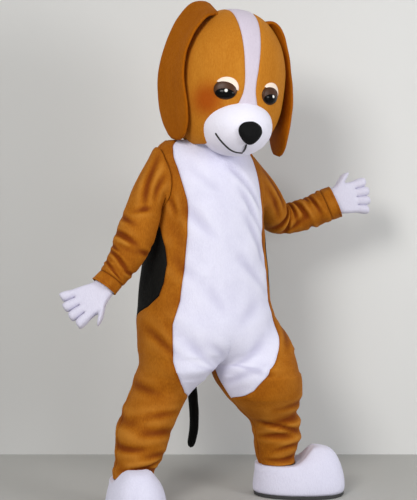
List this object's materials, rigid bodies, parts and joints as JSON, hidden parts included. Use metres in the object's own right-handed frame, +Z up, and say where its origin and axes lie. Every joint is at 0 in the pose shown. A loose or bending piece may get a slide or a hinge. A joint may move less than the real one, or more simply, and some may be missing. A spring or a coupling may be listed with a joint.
{
  "type": "plush dog mascot costume set",
  "caption": "Full-body plush dog costume: round head with long hanging ears, one-piece suit with a pale front and dark saddle, tail, gloves and big padded shoes.",
  "frame": {"origin": "the point midway between the wearer's shoulders, 1.38 m above the floor that the shoes stand on", "axes": "+Z up, -Y the costume's front, +X to the wearer's left"},
  "size_m": [1.3664, 0.6428, 1.906],
  "materials": {
    "white_plush": "short plush, matt",
    "brown_plush": "short plush, matt",
    "eye_brown": "gloss dome",
    "lid_felt": "felt",
    "tan_plush": "short plush, matt",
    "black_plush": "short plush, matt",
    "black_nose": "satin moulded nose",
    "eye_black": "gloss",
    "sole_rubber": "matt foam rubber",
    "zip_metal": "satin",
    "zip_tape": "woven tape"
  },
  "bodies": {
    "costume": {"belly": "white_plush", "blaze": "white_plush", "ear_left": "brown_plush", "ear_right": "brown_plush", "eye_left": "eye_brown", "eye_right": "eye_brown", "eyelid_left": "lid_felt", "eyelid_right": "lid_felt", "flank_left": "tan_plush", "flank_right": "tan_plush", "glove_left": "white_plush", "glove_right": "white_plush", "head_back": "tan_plush", "head_side_left": "tan_plush", "head_side_right": "tan_plush", "leg_back_left": "tan_plush", "leg_back_right": "tan_plush", "mouth": "black_plush", "mouth_line": "black_plush", "muzzle": "white_plush", "nose": "black_nose", "pupil_left": "eye_black", "pupil_right": "eye_black", "saddle_left": "black_plush", "saddle_right": "black_plush", "shoe_left": "white_plush", "shoe_right": "white_plush", "sleeve_hem_left": "tan_plush", "sleeve_hem_right": "tan_plush", "sleeve_left": "tan_plush", "sleeve_right": "tan_plush", "sole_left": "sole_rubber", "sole_right": "sole_rubber", "tail": "black_plush", "yoke_left": "tan_plush", "yoke_right": "tan_plush", "zip_slider": "zip_metal", "zip_tape": "zip_tape"},
    "pull_tab": {"zip_pull": "zip_metal"}
  },
  "joints": [
    {"name": "pull_hinge", "type": "hinge", "parent": "costume", "child": "pull_tab", "pos_m": [0, 0.17774, -0.08481], "axis": [1, 0, 0], "range_deg": [0, 120]}
  ]
}
